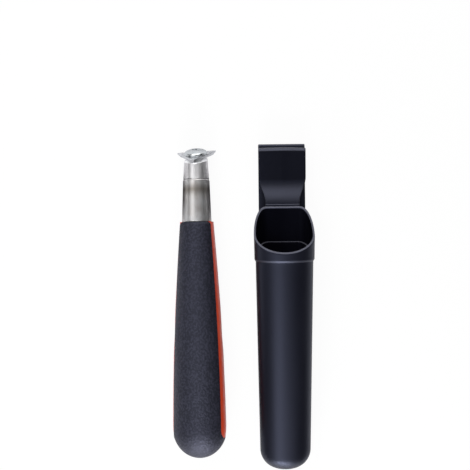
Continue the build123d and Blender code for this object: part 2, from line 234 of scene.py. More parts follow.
def tint(finish, surface, field, darkColor, lightColor, start=0.3, end=0.7):
    ramp = finish.node_tree.nodes.new("ShaderNodeValToRGB")
    ramp.color_ramp.elements[0].position = start
    ramp.color_ramp.elements[0].color = (*darkColor, 1)
    ramp.color_ramp.elements[1].position = end
    ramp.color_ramp.elements[1].color = (*lightColor, 1)
    finish.node_tree.links.new(field, ramp.inputs["Fac"])
    finish.node_tree.links.new(ramp.outputs["Color"], surface.inputs["Base Color"])


def emboss(finish, surface, field, strength, depth, under=None):
    bump = finish.node_tree.nodes.new("ShaderNodeBump")
    bump.inputs["Strength"].default_value = strength
    bump.inputs["Distance"].default_value = depth
    finish.node_tree.links.new(field, bump.inputs["Height"])
    if under:
        finish.node_tree.links.new(under, bump.inputs["Normal"])
    finish.node_tree.links.new(bump.outputs["Normal"], surface.inputs["Normal"])
    return bump.outputs["Normal"]


def markOf(finish, name):
    # a mark that a piece's points carry, 0 where there is none
    mark = finish.node_tree.nodes.new("ShaderNodeAttribute")
    mark.attribute_name = name
    return mark.outputs["Fac"]


def blend(finish, surface, name, color):
    # blends the base color towards another one where a mark is set
    nodes, links = finish.node_tree.nodes, finish.node_tree.links
    mix = nodes.new("ShaderNodeMix")
    mix.data_type = "RGBA"
    mix.inputs["B"].default_value = (*color, 1)
    links.new(surface.inputs["Base Color"].links[0].from_socket, mix.inputs["A"])
    links.new(markOf(finish, name), mix.inputs["Factor"])
    links.new(mix.outputs["Result"], surface.inputs["Base Color"])


def softGripFinish():
    finish, surface = startFinish("softGripBlack", (0.011, 0.011, 0.018), 0.6,
                                  specular=0.66, gleam=(0.70, 0.73, 1.0))
    fine = grainField(finish, 1500, detail=2.0)
    pebble = grainField(finish, 900, (1, 0.8, 1), detail=1.0)
    broad = grainField(finish, 90, (1, 0.35, 1), detail=4.0)
    tint(finish, surface, pebble, (0.0001, 0.0001, 0.0010), (0.013, 0.013, 0.021), 0.44, 0.62)
    roughen(finish, surface, broad, 0.54, 0.66)
    under = emboss(finish, surface, pebble, 0.5, 0.0005)
    emboss(finish, surface, fine, 0.45, 0.0002, under)
    return finish


def coreFinish():
    finish, surface = startFinish("coreOrangeRed", (0.66, 0.055, 0.016), 0.32)
    broad = grainField(finish, 55, (1, 0.3, 1), detail=3.0)
    fine = grainField(finish, 2400, detail=2.0)
    tint(finish, surface, broad, (0.60, 0.045, 0.014), (0.72, 0.072, 0.02))
    roughen(finish, surface, broad, 0.27, 0.4)
    emboss(finish, surface, fine, 0.12, 0.0001)
    return finish


def holsterFinish():
    finish, surface = startFinish("holsterBlack", (0.003, 0.003, 0.005), 0.42,
                                  specular=0.34, gleam=(0.62, 0.68, 1.0))
    fine = grainField(finish, 1900, detail=2.0)
    flow = grainField(finish, 60, (1, 0.12, 1), detail=5.0)
    tint(finish, surface, flow, (0.0018, 0.0018, 0.0036), (0.0030, 0.0030, 0.0056))
    # painted highlight: lightens the base colour on the rim, collar step, shelf and the clip's edges and bends, as
    # far as the mark says
    blend(finish, surface, "paintedHighlight", (0.10, 0.10, 0.12))
    # painted shade: the gleam is cut down where the shaded mark is set, inside the hollow, on the shelf and on the
    # clip's flat strap
    paintedShade = spread(finish, markOf(finish, "shaded"), 0.46, 0.03, 0, 1)
    finish.node_tree.links.new(paintedShade, surface.inputs["Specular IOR Level"])
    roughen(finish, surface, flow, 0.38, 0.46)
    emboss(finish, surface, fine, 0.12, 0.0001)
    return finish


def satinHeadFinish():
    finish, surface = startFinish("satinHead", (0.62, 0.61, 0.62), 0.42, metallic=1.0)
    brushed = grainField(finish, 900, (1, 0.06, 1), detail=3.0)
    cloud = grainField(finish, 160, detail=4.0)
    tint(finish, surface, cloud, (0.58, 0.57, 0.58), (0.67, 0.66, 0.67))
    # painted highlight: the chamfer's base colour is lightened where the mark is set
    blend(finish, surface, "chamferHighlight", (0.92, 0.92, 0.93))
    roughen(finish, surface, brushed, 0.38, 0.46)
    emboss(finish, surface, brushed, 0.08, 0.00005)
    return finish


def platedFinish():
    finish, surface = startFinish("platedFerrule", (0.56, 0.55, 0.54), 0.42, metallic=1.0)
    cloud = grainField(finish, 130, detail=5.0)
    fine = grainField(finish, 1400, (1, 0.2, 1), detail=3.0)
    tint(finish, surface, cloud, (0.50, 0.475, 0.46), (0.62, 0.62, 0.63))
    # painted reflection: a darker, brownish band round the tube under its top
    blend(finish, surface, "warmReflection", (0.20, 0.175, 0.15))
    roughen(finish, surface, cloud, 0.36, 0.46)
    emboss(finish, surface, fine, 0.05, 0.00005)
    return finish


def zincFinish():
    finish, surface = startFinish("brightZinc", (0.76, 0.78, 0.79), 0.22, metallic=1.0)
    cloud = grainField(finish, 420, detail=4.0)
    tint(finish, surface, cloud, (0.50, 0.53, 0.55), (0.62, 0.64, 0.65))
    roughen(finish, surface, cloud, 0.2, 0.28)
    emboss(finish, surface, cloud, 0.03, 0.00005)
    return finish


def carbideFinish():
    finish, surface = startFinish("groundCarbide", (0.46, 0.47, 0.49), 0.3, metallic=1.0)
    lines = grainField(finish, 1600, (0.05, 1, 1), detail=3.0)
    cloud = grainField(finish, 260, detail=4.0)
    tint(finish, surface, cloud, (0.54, 0.55, 0.57), (0.66, 0.67, 0.69))
    roughen(finish, surface, lines, 0.22, 0.38)
    emboss(finish, surface, lines, 0.15, 0.0001)
    return finish


def barFinish():
    finish, surface = startFinish("drawnBar", (0.5, 0.5, 0.51), 0.36, metallic=1.0)
    lines = grainField(finish, 1100, (1, 0.04, 1), detail=3.0)
    tint(finish, surface, lines, (0.42, 0.42, 0.43), (0.56, 0.56, 0.57))
    emboss(finish, surface, lines, 0.2, 0.0001)
    return finish


finishes = {
    "carbide": carbideFinish(),
    "bright_steel": zincFinish(),
    "satin_metal": satinHeadFinish(),
    "plated_metal": platedFinish(),
    "plain_steel": barFinish(),
    "orange_core": coreFinish(),
    "black_grip": softGripFinish(),
    "holster_plastic": holsterFinish(),
}
print("finishes mixed:", len(finishes))

for entry in frame["record"]["subparts"]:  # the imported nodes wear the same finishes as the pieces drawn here
    node = frame["nodes"][entry["node"]]
    node.data.materials.clear()
    node.data.materials.append(finishes[entry["material_slot"]])

# every piece is drawn in millimetres, +Y along its tool and +Z its front;
# the blade, washer and screw are drawn on the seat, +Z out along the screw

scraper = {
    "lean": 0.9,            # degrees on the floor
    "roll": -11.7,          # degrees about the handle's own length
    "handleLength": 146.0,
    "ferruleLength": 26.5,
    "headLength": 13.5,
    "seatTilt": 20.0,
}
scraper["ferruleTop"] = scraper["handleLength"] + scraper["ferruleLength"]
scraper["seatHeight"] = scraper["ferruleTop"] + scraper["headLength"]

handle = {
    "buttLength": 18.2,
    "frontWidth": 21.5, "width": 33.7,
    "frontHeight": 20.4, "height": 28.8,
    "bulge": 1.7,
    "edgeRadius": 2.0,
    "noseRadius": 6.4,
    "bandShare": 0.355,
    "bandEnd": 12.6,
    "lip": [(0, 0), (0.25, 0.04), (0.45, 0.13), (0.62, 0.32), (0.74, 0.62), (0.8, 1.0), (0.8, 2.4)],
    "arcSteps": 48, "domeSteps": 22, "roundEndSteps": 18, "bodySteps": 54, "frontSteps": 7,
}
handle["bodyLength"] = scraper["handleLength"] - handle["buttLength"]

holster = {
    "place": (0.0263781, -0.0998204, -0.000625847),
    "lean": 0.6,
    "tilt": 4.67839,
}


def turned(degrees, axis):
    return Matrix.Rotation(math.radians(degrees), 4, axis)


seatJoint = [joint for joint in frame["joints"] if joint["name"] == "blade_turn"][0]
liftedBack = math.atan2((handle["height"] - handle["frontHeight"]) / 2, handle["bodyLength"])
scraperFrame = (Matrix.Translation(seatJoint["pos_m"])
                @ turned(scraper["lean"], "Z") @ Matrix.Rotation(-liftedBack, 4, "X")
                @ turned(scraper["roll"], "Y") @ Matrix.Scale(millimetre, 4)
                @ Matrix.Translation((0, -scraper["seatHeight"], 0)))
tiltSin = math.sin(math.radians(scraper["seatTilt"]))
tiltCos = math.cos(math.radians(scraper["seatTilt"]))
screwFrame = (scraperFrame @ Matrix.Translation((0, scraper["seatHeight"], 0))
              @ Matrix(((1, 0, 0), (0, tiltSin, -tiltCos), (0, tiltCos, tiltSin))).transposed().to_4x4())
holsterFrame = (Matrix.Translation(holster["place"]) @ turned(holster["lean"], "Z")
                @ turned(holster["tilt"], "X") @ Matrix.Scale(millimetre, 4))


def stepped(first, last, count):
    return [first + (last - first) * number / count for number in range(count + 1)]


def quarterTurn(count):
    return stepped(0, math.pi / 2, count)


def smoothStep(value):
    value = max(0.0, min(1.0, value))
    return value * value * (3 - 2 * value)


def growSkin(shape, rows, place, closed=True, marks=None):
    # joins rows of points, one row after another, into a skin of four-sided faces;
    # marks give a value to each row
    marks = marks or {}
    layers = [shape.verts.layers.float.get(name) or shape.verts.layers.float.new(name) for name in marks]
    made = [[shape.verts.new(place @ Vector(point)) for point in row] for row in rows]
    for layer, values in zip(layers, marks.values()):
        for row, value in zip(made, values):
            for point in row:
                point[layer] = value
    for lower, upper in zip(made, made[1:]):
        count = len(lower)
        for number in range(count if closed else count - 1):
            after = (number + 1) % count
            shape.faces.new((lower[number], lower[after], upper[after], upper[number]))


def finishPiece(name, shape, slotName, body, nodes, crease=None):
    bmesh.ops.remove_doubles(shape, verts=shape.verts, dist=weldReach)
    bmesh.ops.recalc_face_normals(shape, faces=shape.faces)
    mesh = bpy.data.meshes.new(name)
    shape.to_mesh(mesh)
    shape.free()
    mesh.shade_smooth()
    if crease:
        mesh.set_sharp_from_angle(angle=math.radians(crease))
    mesh.materials.append(finishes[slotName])
    piece = bpy.data.objects.new(name, mesh)
    scene.collection.objects.link(piece)
    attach(piece, body)
    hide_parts(*nodes)
    print("made", name, len(mesh.vertices), "points")


def ringOnScrew(radius, height, count=96):
    # a round row about the screw, at a height over the seat
    return [(radius * math.cos(turn), radius * math.sin(turn), height)
            for turn in stepped(0, 2 * math.pi, count)[:-1]]


def ringAt(radius, height, count=96):
    # a round row about the tool's length
    return [(x, height, z) for x, z, _ in ringOnScrew(radius, 0, count)]


def between(start, end, share):
    # a row part of the way from one row to another
    return [tuple(a + (b - a) * share for a, b in zip(p, q)) for p, q in zip(start, end)]


# soft grip: its outer skin with a rolled lip round each side band, open on the hidden inner side

def handleSizes(height):
    # half width, front half height and back half height
    rise = max(0.0, min(1.0, (height - handle["buttLength"]) / handle["bodyLength"]))
    swell = 1 - rise ** handle["bulge"]
    wide = (handle["frontWidth"] + (handle["width"] - handle["frontWidth"]) * swell) / 2
    front = (handle["frontHeight"] + (handle["height"] - handle["frontHeight"]) * swell) / 2
    back = (handle["height"] + (handle["frontHeight"] - handle["height"]) * rise) / 2
    if height < handle["buttLength"]:
        drop = (handle["buttLength"] - height) / handle["buttLength"]
        share = math.sqrt(max(0.0, 1 - drop ** 2))
        wide, front, back = wide * share, front * share, back * share
    gap = scraper["handleLength"] - height
    edge = handle["edgeRadius"]
    if gap < edge:
        pull = edge - math.sqrt(max(0.0, edge ** 2 - (edge - gap) ** 2))
        wide, front, back = wide - pull, front - pull, back - pull
    return wide, front, back


def bandEdge(height, spare):
    # half height of the side band, with the lip's room round it
    if height >= handle["buttLength"]:
        return handle["bandShare"] * handleSizes(height)[0] + spare
    tall = handle["bandShare"] * handle["width"] / 2 + spare
    long = handle["buttLength"] - handle["bandEnd"] + spare
    drop = (handle["buttLength"] - height) / long
    return tall * math.sqrt(max(0.0, 1 - drop ** 2))


def gripHeights(lipRoom):
    # rows along the handle: the butt's dome, the band's round end, the body and the front edge
    butt, edge = handle["buttLength"], handle["edgeRadius"]
    bandLow = handle["bandEnd"] - lipRoom
    domeTurns = stepped(0, math.acos(1 - bandLow / butt), handle["domeSteps"])
    dome = [butt * (1 - math.cos(turn)) for turn in domeTurns]
    roundEnd = [butt - (butt - bandLow) * math.cos(turn)
                for turn in quarterTurn(handle["roundEndSteps"])]
    body = stepped(butt, scraper["handleLength"] - edge, handle["bodySteps"])
    front = [scraper["handleLength"] - edge * (1 - math.sin(turn))
             for turn in quarterTurn(handle["frontSteps"])]
    return dome, roundEnd[1:] + body[1:] + front[1:]


def makeGripCover():
    lipRoom = handle["lip"][-1][0]
    dome, upper = gripHeights(lipRoom)
    shape = bmesh.new()
    for sign in (1, -1):
        rows = []
        for number, height in enumerate(dome + upper):
            wide, front, back = handleSizes(height)
            tall = front if sign > 0 else back
            edge = bandEdge(height, lipRoom) if number >= len(dome) else 0
            start = math.asin(min(1.0, edge / tall)) if edge else 0.0
            rows.append([(wide * math.cos(turn), height, sign * tall * math.sin(turn))
                         for turn in stepped(start, math.pi - start, handle["arcSteps"])])
        nose = handle["noseRadius"]
        rows.append([(nose * math.cos(turn), scraper["handleLength"], sign * nose * math.sin(turn))
                     for turn in stepped(start, math.pi - start, handle["arcSteps"])])
        growSkin(shape, rows, scraperFrame, closed=False)
        for side in (1, -1):
            growSkin(shape, lipRows(dome[-1:] + upper, sign, side, lipRoom), scraperFrame, closed=False)
    finishPiece("gripCover", shape, "black_grip", "scraper", ["soft_grip"])


def lipRows(heights, sign, side, lipRoom):
    # from the grip's edge inwards, rounded over and down beside the band
    edges = [0.0] + [bandEdge(height, lipRoom) for height in heights[1:]]
    rows = []
    for number, (height, edge) in enumerate(zip(heights, edges)):
        before, after = max(0, number - 1), min(len(heights) - 1, number + 1)
        along = heights[after] - heights[before]
        across = edges[after] - edges[before]
        if number == 0:
            along, across = 0.0, 1.0
        length = math.hypot(along, across)
        row = []
        for inward, sink in handle["lip"]:
            y = height + across / length * inward
            z = max(0.0, edge - along / length * inward)
            wide, front, back = handleSizes(min(y, scraper["handleLength"]))
            tall = front if sign > 0 else back
            x = wide * math.sqrt(max(0.0, 1 - (z / tall) ** 2)) - sink
            row.append((side * x, y, sign * z))
        rows.append(row)
    return rows


# blade head and ferrule

head = {
    "topRadius": 7.25, "footRadius": 8.05,
    "chamfer": 1.3,
    "chamferShares": (0.04, 0.12, 0.5, 0.88, 0.96),
    "footEdge": 0.3, "footPoint": (0.05, 0.55),   # the foot's rounding, and a point on it: in, share up
    "sideLow": 0.6, "sideDrops": (7.2, 4.2),      # rows on the side: over the foot, under the seat
    "soft": 0.14,          # how wide each edge is rounded over
    "tapRadius": 2.56, "tapDepth": 9.0, "tapRim": 0.4,
    "around": 128,         # points in each row
    "rounds": 6,           # times that the height of the slanted rim is worked out
}

ferrule = {
    "topRadius": 8.3, "footRadius": 9.2,
    "bore": 6.25, "boreEdge": 0.1,
    "footEdge": 0.2, "footPoint": (0.01, 0.5),   # the foot's rounding, and a point above it: in, up
    "shoulder": 0.95,      # rounding at the top
    "warmReflectionShare": 0.8, "warmReflectionDrop": 6.5, "warmReflectionReach": 5.0,   # a painted warm reflection, darker and browner, round this height under the top
    "sideSteps": 24, "shoulderSteps": 9,
}


def headRadius(height):
    taper = (head["footRadius"] - head["topRadius"]) / scraper["headLength"]
    return head["footRadius"] - taper * (height - scraper["ferruleTop"])


def headRow(drop, inset):
    # a row where the cone meets the slanted seat, moved down the side or in over the seat
    slope = tiltSin / tiltCos
    row = []
    for turn in stepped(0, 2 * math.pi, head["around"])[:-1]:
        height = scraper["seatHeight"]
        for _ in range(head["rounds"]):
            height = scraper["seatHeight"] - headRadius(height) * math.sin(turn) * slope
        if drop:
            height -= drop
            radius = headRadius(height)
        else:
            radius = headRadius(height) - inset
            height = scraper["seatHeight"] - radius * math.sin(turn) * slope
        row.append((radius * math.cos(turn), height, radius * math.sin(turn)))
    return row


def makeHeadShell():
    soft, chamfer, low, around = head["soft"], head["chamfer"], scraper["ferruleTop"], head["around"]
    foot, edge, sideLow = head["footRadius"], head["footEdge"], low + head["sideLow"]
    inward, part = head["footPoint"]
    rows = [ringAt(0, low, around), ringAt(foot - edge, low, around),
            ringAt(foot - inward, low + edge * part, around), ringAt(foot, low + edge, around),
            ringAt(headRadius(sideLow), sideLow, around)]
    rows += [headRow(drop, 0) for drop in (*head["sideDrops"], chamfer + 2 * soft, chamfer + soft)]
    side, seat, first = headRow(chamfer, 0), headRow(0, chamfer), len(rows) - 1
    rows += [between(side, seat, share) for share in head["chamferShares"]]
    rows += [headRow(0, chamfer + soft), headRow(0, chamfer + 2 * soft)]
    last = len(rows) - 1
    hole = scraper["seatHeight"]
    for depth in (0.0, head["tapRim"], head["tapDepth"]):
        rows.append([(x, y + hole, z) for x, y, z in tapRow(depth)])
    rows.append([(0, hole - head["tapDepth"] * tiltCos, -head["tapDepth"] * tiltSin)] * around)
    # the chamfer's rows carry a painted highlight
    chamferHighlight = [1.0 if first <= number < last else 0.0 for number in range(len(rows))]
    shape = bmesh.new()
    growSkin(shape, rows, scraperFrame, marks={"chamferHighlight": chamferHighlight})
    finishPiece("headShell", shape, "satin_metal", "scraper", ["blade_head"])


def tapRow(depth):
    # a round row in the tapped hole, at a depth under the seat and square to the screw
    row = []
    for turn in stepped(0, 2 * math.pi, head["around"])[:-1]:
        x, across = head["tapRadius"] * math.cos(turn), head["tapRadius"] * math.sin(turn)
        row.append((x, -across * tiltSin - depth * tiltCos, across * tiltCos - depth * tiltSin))
    return row


def makeFerruleTube():
    low, top, shoulder = scraper["handleLength"], scraper["ferruleTop"], ferrule["shoulder"]
    bore, boreEdge = ferrule["bore"], ferrule["boreEdge"]
    foot, edge, narrow = ferrule["footRadius"], ferrule["footEdge"], ferrule["topRadius"]
    inward, upward = ferrule["footPoint"]
    rows = [ringAt(bore, low), ringAt(foot - edge, low), ringAt(foot, low + edge),
            ringAt(foot - inward, low + upward)]
    straight = top - shoulder
    for share in stepped(0, 1, ferrule["sideSteps"])[1:-1]:
        rows.append(ringAt(foot + (narrow - foot) * share, low + (straight - low) * share))
    for turn in quarterTurn(ferrule["shoulderSteps"]):
        rows.append(ringAt(narrow - shoulder * (1 - math.cos(turn)), straight + shoulder * math.sin(turn)))
    rows += [ringAt(bore + boreEdge, top), ringAt(bore, top - boreEdge), ringAt(bore, low)]
    gaps = [abs(top - row[0][1] - ferrule["warmReflectionDrop"]) for row in rows]
    warmReflection = [ferrule["warmReflectionShare"] * smoothStep(1 - gap / ferrule["warmReflectionReach"]) for gap in gaps]
    shape = bmesh.new()
    growSkin(shape, rows, scraperFrame, marks={"warmReflection": warmReflection})
    finishPiece("ferruleTube", shape, "plated_metal", "scraper", ["ferrule"])


# blade, washer and screw

cutter = {
    "side": 25.0, "thickness": 2.4, "land": 0.7,
    "angle": 7.2,          # degrees that the clamped blade is turned on its seat
    "undercut": 1.1, "flankShares": (0.6, 0.2, 0.03, 0),
    "backEdge": (0.1, 0.12),          # rounding of the back's edge: outwards, upwards
    "landEdge": 0.05,
    "cornerRadius": 0.4, "cornerSteps": 8, "sideSteps": 22,
    "honing": 0.06, "honedPoint": 0.3,   # the dulled line at each cutting edge: width, a point's share on it
    "faceEdge": 0.12, "faceInset": 1.1,  # rows on the face, inside the dulled line and the outline
    "holeRadius": 2.75,
}

dome = {
    "radius": 7.15, "rim": 0.8, "height": 2.3, "rise": 1.1,
    "headRadius": 4.6, "mouthRadius": 4.65, "holeRadius": 2.61,
    "soft": 0.12, "rimSoft": 0.1,             # how wide the washer's edges are rounded over
    "rimTurn": 0.06, "mouthTurn": 0.03,       # how far the dome stops short of rim and mouth, radians
    "mouthPoint": (0.08, 0.02), "cupPoint": (0.1, 0.2), "ringSteps": 22,
    "headEdge": (0.08, 0.25), "headSoft": 0.1, "headSteps": 46,
    "slotWidth": 1.25, "slotLength": 5.0, "slotDepth": 1.7,
    "slotSoft": 0.16, "slotRunOut": 0.75,     # how wide the drive's sides and ends are rounded over
}

thread = {
    "radius": 2.5, "depth": 0.49, "pitch": 0.8, "reach": 8.0,
    "neckPoint": (0.05, 0.1),                 # the head's foot over the thread: out, up
    "tipShare": 0.8,
    "stepsPerTurn": 10, "around": 144,
}


def pointAt(radius, degrees):
    return radius * math.cos(math.radians(degrees)), radius * math.sin(math.radians(degrees))


def bladeRow(inset, height):
    # the rounded triangle as a row of points, one corner to the tool's front
    corner = (cutter["side"] - 2 * inset * math.sqrt(3)) / math.sqrt(3)
    radius = cutter["cornerRadius"]
    centres = [(pointAt(corner - 2 * radius, facing), facing) for facing in (-90, 30, 150)]
    row = []
    for number, ((x, y), facing) in enumerate(centres):
        for turn in stepped(facing - 60, facing + 60, cutter["cornerSteps"]):
            across, along = pointAt(radius, turn)
            row.append((x + across, y + along, height))
        (nextX, nextY), nextFacing = centres[(number + 1) % 3]
        across, along = pointAt(radius, nextFacing - 60)
        start, end = row[-1], (nextX + across, nextY + along, height)
        for share in stepped(0, 1, cutter["sideSteps"])[1:-1]:
            row.append(tuple(a + (b - a) * share for a, b in zip(start, end)))
    return row


def makeCuttingPlate():
    thick, honing, undercut = cutter["thickness"], cutter["honing"], cutter["undercut"]
    outward, upward = cutter["backEdge"]
    flank = thick - cutter["land"]
    honed = honing * cutter["honedPoint"]
    outlines = [bladeRow(undercut, 0), bladeRow(undercut - outward, upward)]
    outlines += [bladeRow(undercut * share, flank * (1 - share)) for share in cutter["flankShares"]]
    outlines += [bladeRow(0, flank + cutter["landEdge"]), bladeRow(0, thick - honing),
                 bladeRow(honed, thick - honed), bladeRow(honing, thick),
                 bladeRow(honing + cutter["faceEdge"], thick), bladeRow(cutter["faceInset"], thick)]
    hole = []
    for x, y, _ in outlines[0]:
        reach = math.hypot(x, y)
        hole.append((cutter["holeRadius"] * x / reach, cutter["holeRadius"] * y / reach))
    rows = outlines + [[(x, y, height) for x, y in hole] for height in (thick, thick / 2, 0)]
    rows.append(outlines[0])
    shape = bmesh.new()
    growSkin(shape, rows, screwFrame @ turned(cutter["angle"], "Z"))
    finishPiece("cuttingPlate", shape, "carbide", "cutter", ["blade"], crease=28)


def domeHeight(radius):
    low = cutter["thickness"] + dome["rim"]
    high = cutter["thickness"] + dome["height"] + dome["rise"]
    return low + (high - low) * math.sqrt(max(0.0, 1 - (radius / dome["radius"]) ** 2))


def makeCupRing():
    base, outer, hole, soft = cutter["thickness"], dome["radius"], dome["holeRadius"], dome["soft"]
    mouth = dome["mouthRadius"]
    rows = [ringOnScrew(hole, base), ringOnScrew(outer - soft, base), ringOnScrew(outer, base + soft),
            ringOnScrew(outer, base + dome["rim"] - dome["rimSoft"])]
    first, last = math.pi / 2 - dome["rimTurn"], math.asin(mouth / outer) + dome["mouthTurn"]
    turns = stepped(first, last, dome["ringSteps"])
    rows += [ringOnScrew(outer * math.sin(turn), domeHeight(outer * math.sin(turn))) for turn in turns]
    (mouthOut, mouthDown), (cupOut, cupUp) = dome["mouthPoint"], dome["cupPoint"]
    rows += [ringOnScrew(mouth + mouthOut, domeHeight(mouth) - mouthDown),
             ringOnScrew(mouth, domeHeight(mouth) - soft),
             ringOnScrew(hole + cupOut, base + cupUp), ringOnScrew(hole, base)]
    shape = bmesh.new()
    growSkin(shape, rows, screwFrame)
    finishPiece("cupRing", shape, "bright_steel", "washer", ["cup_washer"], crease=50)


def slotSink(x, y):
    # depth of the crossed drive under a point of the head
    deepest = 0.0
    for turn in (45, 135):
        cosine, sine = pointAt(1, turn)
        along, across = x * cosine + y * sine, y * cosine - x * sine
        inside = smoothStep((dome["slotWidth"] / 2 - abs(across)) / dome["slotSoft"])
        ends = smoothStep((dome["slotLength"] / 2 - abs(along)) / dome["slotRunOut"])
        deepest = max(deepest, inside * ends)
    return dome["slotDepth"] * deepest


def threadRow(height):
    # a section of the thread, which fades out under the head and narrows at the tip
    runOut = smoothStep((cutter["thickness"] - height) / thread["pitch"])
    lead = smoothStep((height + thread["reach"]) / thread["pitch"])
    row = []
    for number in range(thread["around"]):
        turn = number / thread["around"]
        phase = (height / thread["pitch"] - turn) % 1.0
        groove = thread["depth"] * (1 - abs(2 * phase - 1)) * runOut
        reach = (thread["radius"] - groove) * (thread["tipShare"] + (1 - thread["tipShare"]) * lead)
        row.append((reach * math.cos(2 * math.pi * turn), reach * math.sin(2 * math.pi * turn), height))
    return row


def makeScrewBody():
    count, radius = thread["around"], dome["headRadius"]
    rows = []
    for ring in stepped(0, radius - dome["headSoft"], dome["headSteps"]):
        rows.append([(x, y, domeHeight(ring) - slotSink(x, y)) for x, y, _ in ringOnScrew(ring, 0, count)])
    (edge, drop), (neckOut, neckUp) = dome["headEdge"], thread["neckPoint"]
    rows += [ringOnScrew(radius, domeHeight(radius) - edge, count),
             ringOnScrew(radius - edge, domeHeight(radius) - drop, count),
             ringOnScrew(thread["radius"] + neckOut, cutter["thickness"] + neckUp, count)]
    turns = (thread["reach"] + cutter["thickness"]) / thread["pitch"]
    heights = stepped(cutter["thickness"], -thread["reach"], int(turns * thread["stepsPerTurn"]))
    rows += [threadRow(height) for height in heights]
    rows.append([(0, 0, -thread["reach"])] * count)
    shape = bmesh.new()
    growSkin(shape, rows, screwFrame)
    finishPiece("screwBody", shape, "bright_steel", "screw", ["blade_screw"], crease=55)


# holster pouch

pouch = {
    "footWidth": 30.8, "mouthWidth": 36.1,
    "footDepth": 24.0, "mouthDepth": 30.4,
    "sideRadius": 12.4, "heelRadius": 8.0, "wall": 2.1,
    "backHeight": 162.1, "mouthDrop": 28.1,
    "flatShare": 0.577, "widestShare": 0.6,
    "collarHeight": 129.4, "collarBlend": 1.2, "collarThickness": 0.7,
    "underCollar": (0.3, 0.03),           # the wall's last rows under the collar: down, out
    "stepFoot": (0.12, 0.1),              # the collar's step: up from its foot and out,
    "stepHead": ((0.35, 0.2), (0.05, 0.05)), "bandGap": 0.25,   # then short of its top and face
    "rimThickness": 1.3,
    "ledgeHeight": 140.5, "ledgeSlope": 20.0,
    "shelfRows": ((0.25, 0.1, 0), (0.06, 0.02, 0.06)),   # out and back from the hollow's wall, and down
    "shelfDrop": 0.25,
    "footShares": (0.4, 0.8, 0.97),       # rows on the flat lower end, from its middle outwards
    "railWidth": 2.0, "railHeight": 15.0, "railLow": 141.3, "railStep": 11.8, "railThickness": 3.3,
    "railEdge": 0.4,
    "backSteps": 18, "cornerSteps": 16, "frontSteps": 60,
    "footSteps": 16, "wallSteps": 44, "bandSteps": 14, "lipSteps": 12, "throatSteps": 12, "hollowSteps": 36,
    "rounds": 5,                          # times that a slanted row's height is worked out
    "lipHighlight": 0.9, "stepHighlight": 0.12, "shelfHighlight": 0.8,   # how far the moulding's edges are lightened, as a painted highlight
    "shelfShade": 0.5,
}
pouch["mouthSlope"] = pouch["mouthDrop"] / (pouch["mouthDepth"] + pouch["collarThickness"])


def pouchPoint(height, grow, back, share, frontSpare=0.0):
    # share runs once round the section: back, right corner, front, left corner
    rise = height / pouch["backHeight"]
    wide = (pouch["footWidth"] + (pouch["mouthWidth"] - pouch["footWidth"]) * rise) / 2 + grow
    front = pouch["footDepth"] + (pouch["mouthDepth"] - pouch["footDepth"]) * rise + grow + frontSpare
    middle = back + (front - back) * pouch["widestShare"]
    flat = wide * pouch["flatShare"]
    kind, part = share
    if kind == "back":
        return -flat + 2 * flat * part, back
    turn = math.radians({"right": -90, "front": 0, "left": 180}[kind] + {"front": 180}.get(kind, 90) * part)
    if kind == "front":
        return wide * math.cos(turn), middle + (front - middle) * math.sin(turn)
    centre = flat if kind == "right" else -flat
    return centre + (wide - flat) * math.cos(turn), middle + (middle - back) * math.sin(turn)


def pouchShares():
    shares = []
    for kind, steps in (("back", pouch["backSteps"]), ("right", pouch["cornerSteps"]),
                        ("front", pouch["frontSteps"]), ("left", pouch["cornerSteps"])):
        shares += [(kind, number / steps) for number in range(steps)]
    return shares


def pouchRow(height, grow, back, frontSpare=0.0):
    points = [pouchPoint(height, grow, back, share, frontSpare) for share in pouchShares()]
    return [(x, height, z) for x, z in points]


def slantedRow(high, slope, grow, back, lift=0.0, low=None, part=1.0):
    # a row on the slanted plane, or part of the way up to it from a level row
    row = []
    for share in pouchShares():
        height = high
        for _ in range(pouch["rounds"]):
            height = high - slope * pouchPoint(height, grow, back, share)[1]
        height += lift
        if low is not None:
            height = low + (height - low) * part
        x, z = pouchPoint(height, grow, back, share)
        row.append((x, height, z))
    return row


def cornerPull(radius, rise):
    return radius - math.sqrt(radius ** 2 - max(0.0, radius - rise) ** 2)


def pouchFoot(foot, grow, back, sideRadius, heelRadius):
    # rows that round the closed lower end, from its middle outwards
    middle = back + pouch["footDepth"] / 2
    flat = pouchRow(foot, grow - sideRadius, back + heelRadius, sideRadius - heelRadius)
    rows = [[(0.0, foot, middle)] * len(flat)]
    for share in pouch["footShares"]:
        rows.append([(x * share, y, middle + (z - middle) * share) for x, y, z in flat])
    for turn in quarterTurn(pouch["footSteps"]):
        rise = sideRadius * (1 - math.cos(turn))
        side, heel = cornerPull(sideRadius, rise), cornerPull(heelRadius, rise)
        rows.append(pouchRow(foot + rise, grow - side, back + heel, side - heel))
    return rows


def outerParts():
    # the outer skin from the foot up to the mouth: each part's rows, painted highlight and painted shade
    collar, blend, thick = pouch["collarHeight"], pouch["collarBlend"], pouch["collarThickness"]
    sideRadius, mouth, bead = pouch["sideRadius"], pouch["backHeight"], pouch["rimThickness"] / 2
    (down, out), (footUp, footOut) = pouch["underCollar"], pouch["stepFoot"]
    outside = pouchFoot(0, 0, 0, sideRadius, pouch["heelRadius"])
    heights = stepped(sideRadius, collar - down, pouch["wallSteps"])
    outside += [pouchRow(height, 0, 0) for height in heights[1:]]
    outside.append(pouchRow(collar, out, 0))
    step = [pouchRow(collar + footUp, footOut, 0)]
    step += [pouchRow(collar + blend - short, thick - inward, 0) for short, inward in pouch["stepHead"]]
    low = collar + blend + pouch["bandGap"]
    band = [pouchRow(low, thick, 0)]
    band += [slantedRow(mouth, pouch["mouthSlope"], thick, 0, -bead, low, part)
             for part in stepped(0, 1, pouch["bandSteps"])[1:]]
    return [(outside, 0, 0), (step, pouch["stepHighlight"], 0), (band, 0, 0)]


